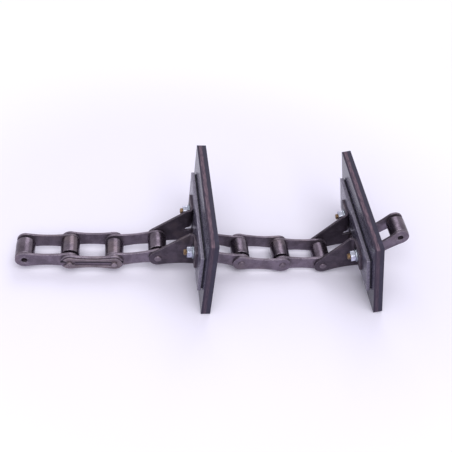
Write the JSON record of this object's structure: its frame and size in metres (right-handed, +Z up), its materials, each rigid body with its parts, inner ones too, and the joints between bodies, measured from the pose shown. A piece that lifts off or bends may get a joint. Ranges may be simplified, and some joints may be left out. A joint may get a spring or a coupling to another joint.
{
  "type": "conveyor chain",
  "caption": "Roller conveyor chain with rubber paddles bolted to bent attachment plates, riveted links and a spring-clip connecting link.",
  "frame": {"origin": "bottom centre of the bounding box, on the floor", "axes": "+X along the chain from its clip end to its raised end, +Y away from the spring clip, +Z up, away from the sprocket side"},
  "size_m": [0.3768, 0.1346, 0.0929],
  "materials": {
    "plate_steel": "dark oiled, as stamped",
    "attachment_steel": "dark oiled, as stamped and bent",
    "bush_steel": "dark oiled, turned",
    "roller_steel": "dark oiled, case hardened",
    "pin_steel": "dark oiled, upset ends",
    "clip_steel": "dark spring steel",
    "paddle_rubber": "matt black, fabric ply showing at the cut edges",
    "backing_steel": "dull mill finish",
    "bolt_zinc": "yellow zinc",
    "nut_zinc": "bright zinc",
    "washer_zinc": "bright zinc"
  },
  "bodies": {
    "inner1": {"inner1_plate_back": "plate_steel", "inner1_plate_front": "plate_steel", "inner1_bush_left": "bush_steel", "inner1_bush_right": "bush_steel"},
    "clip2": {"clip2_plate_back": "plate_steel", "clip2_plate_front": "plate_steel", "clip2_pin_left": "pin_steel", "clip2_pin_right": "pin_steel", "clip2_spring": "clip_steel"},
    "inner3": {"inner3_plate_back": "plate_steel", "inner3_plate_front": "plate_steel", "inner3_bush_left": "bush_steel", "inner3_bush_right": "bush_steel"},
    "attach4": {"attach4_plate_back": "attachment_steel", "attach4_plate_front": "attachment_steel", "attach4_pin_left": "pin_steel", "attach4_pin_right": "pin_steel", "attach4_paddle": "paddle_rubber", "attach4_backing": "backing_steel", "attach4_bolts": "bolt_zinc", "attach4_nuts": "nut_zinc", "attach4_washers": "washer_zinc"},
    "inner5": {"inner5_plate_back": "plate_steel", "inner5_plate_front": "plate_steel", "inner5_bush_left": "bush_steel", "inner5_bush_right": "bush_steel"},
    "outer6": {"outer6_plate_back": "plate_steel", "outer6_plate_front": "plate_steel", "outer6_pin_left": "pin_steel", "outer6_pin_right": "pin_steel"},
    "inner7": {"inner7_plate_back": "plate_steel", "inner7_plate_front": "plate_steel", "inner7_bush_left": "bush_steel", "inner7_bush_right": "bush_steel"},
    "attach8": {"attach8_plate_back": "attachment_steel", "attach8_plate_front": "attachment_steel", "attach8_pin_left": "pin_steel", "attach8_pin_right": "pin_steel", "attach8_paddle": "paddle_rubber", "attach8_backing": "backing_steel", "attach8_bolts": "bolt_zinc", "attach8_nuts": "nut_zinc", "attach8_washers": "washer_zinc"},
    "inner9": {"inner9_plate_back": "plate_steel", "inner9_plate_front": "plate_steel", "inner9_bush_left": "bush_steel", "inner9_bush_right": "bush_steel"},
    "roller1_left": {"inner1_roller_left": "roller_steel"},
    "roller1_right": {"inner1_roller_right": "roller_steel"},
    "roller3_left": {"inner3_roller_left": "roller_steel"},
    "roller3_right": {"inner3_roller_right": "roller_steel"},
    "roller5_left": {"inner5_roller_left": "roller_steel"},
    "roller5_right": {"inner5_roller_right": "roller_steel"},
    "roller7_left": {"inner7_roller_left": "roller_steel"},
    "roller7_right": {"inner7_roller_right": "roller_steel"},
    "roller9_left": {"inner9_roller_left": "roller_steel"},
    "roller9_right": {"inner9_roller_right": "roller_steel"}
  },
  "joints": [
    {"name": "pin_3_4", "type": "hinge", "parent": "attach4", "child": "inner3", "pos_m": [-0.05584, 0, 0.02072], "axis": [0, -1, 0], "range_deg": [-52.7, 43.3]},
    {"name": "pin_2_3", "type": "hinge", "parent": "inner3", "child": "clip2", "pos_m": [-0.09673, 0, 0.01425], "axis": [0, -1, 0], "range_deg": [-35.7, 60.3]},
    {"name": "pin_1_2", "type": "hinge", "parent": "clip2", "child": "inner1", "pos_m": [-0.13813, 0, 0.01446], "axis": [0, -1, 0], "range_deg": [-45.4, 50.6]},
    {"name": "pin_4_5", "type": "hinge", "parent": "attach4", "child": "inner5", "pos_m": [-0.01445, 0, 0.02166], "axis": [0, -1, 0], "range_deg": [-38.5, 44.5]},
    {"name": "pin_5_6", "type": "hinge", "parent": "inner5", "child": "outer6", "pos_m": [0.02616, 0, 0.01362], "axis": [0, -1, 0], "range_deg": [-59.1, 36.9]},
    {"name": "pin_6_7", "type": "hinge", "parent": "outer6", "child": "inner7", "pos_m": [0.0675, 0, 0.01138], "axis": [0, -1, 0], "range_deg": [-53.6, 42.4]},
    {"name": "pin_7_8", "type": "hinge", "parent": "inner7", "child": "attach8", "pos_m": [0.1089, 0, 0.01102], "axis": [0, -1, 0], "range_deg": [-66.4, 29.6]},
    {"name": "pin_8_9", "type": "hinge", "parent": "attach8", "child": "inner9", "pos_m": [0.14891, 0, 0.02167], "axis": [0, -1, 0], "range_deg": [-78.4, 4.6]},
    {"name": "roller1_left_spin", "type": "hinge", "parent": "inner1", "child": "roller1_left", "pos_m": [-0.17953, 0, 0.01439], "axis": [0, -1, 0], "continuous": true},
    {"name": "roller1_right_spin", "type": "hinge", "parent": "inner1", "child": "roller1_right", "pos_m": [-0.13813, 0, 0.01446], "axis": [0, -1, 0], "continuous": true},
    {"name": "roller3_left_spin", "type": "hinge", "parent": "inner3", "child": "roller3_left", "pos_m": [-0.09673, 0, 0.01425], "axis": [0, -1, 0], "continuous": true},
    {"name": "roller3_right_spin", "type": "hinge", "parent": "inner3", "child": "roller3_right", "pos_m": [-0.05584, 0, 0.02072], "axis": [0, -1, 0], "continuous": true},
    {"name": "roller5_left_spin", "type": "hinge", "parent": "inner5", "child": "roller5_left", "pos_m": [-0.01445, 0, 0.02166], "axis": [0, -1, 0], "continuous": true},
    {"name": "roller5_right_spin", "type": "hinge", "parent": "inner5", "child": "roller5_right", "pos_m": [0.02616, 0, 0.01362], "axis": [0, -1, 0], "continuous": true},
    {"name": "roller7_left_spin", "type": "hinge", "parent": "inner7", "child": "roller7_left", "pos_m": [0.0675, 0, 0.01138], "axis": [0, -1, 0], "continuous": true},
    {"name": "roller7_right_spin", "type": "hinge", "parent": "inner7", "child": "roller7_right", "pos_m": [0.1089, 0, 0.01102], "axis": [0, -1, 0], "continuous": true},
    {"name": "roller9_left_spin", "type": "hinge", "parent": "inner9", "child": "roller9_left", "pos_m": [0.14891, 0, 0.02167], "axis": [0, -1, 0], "continuous": true},
    {"name": "roller9_right_spin", "type": "hinge", "parent": "inner9", "child": "roller9_right", "pos_m": [0.17953, 0, 0.04953], "axis": [0, -1, 0], "continuous": true}
  ]
}
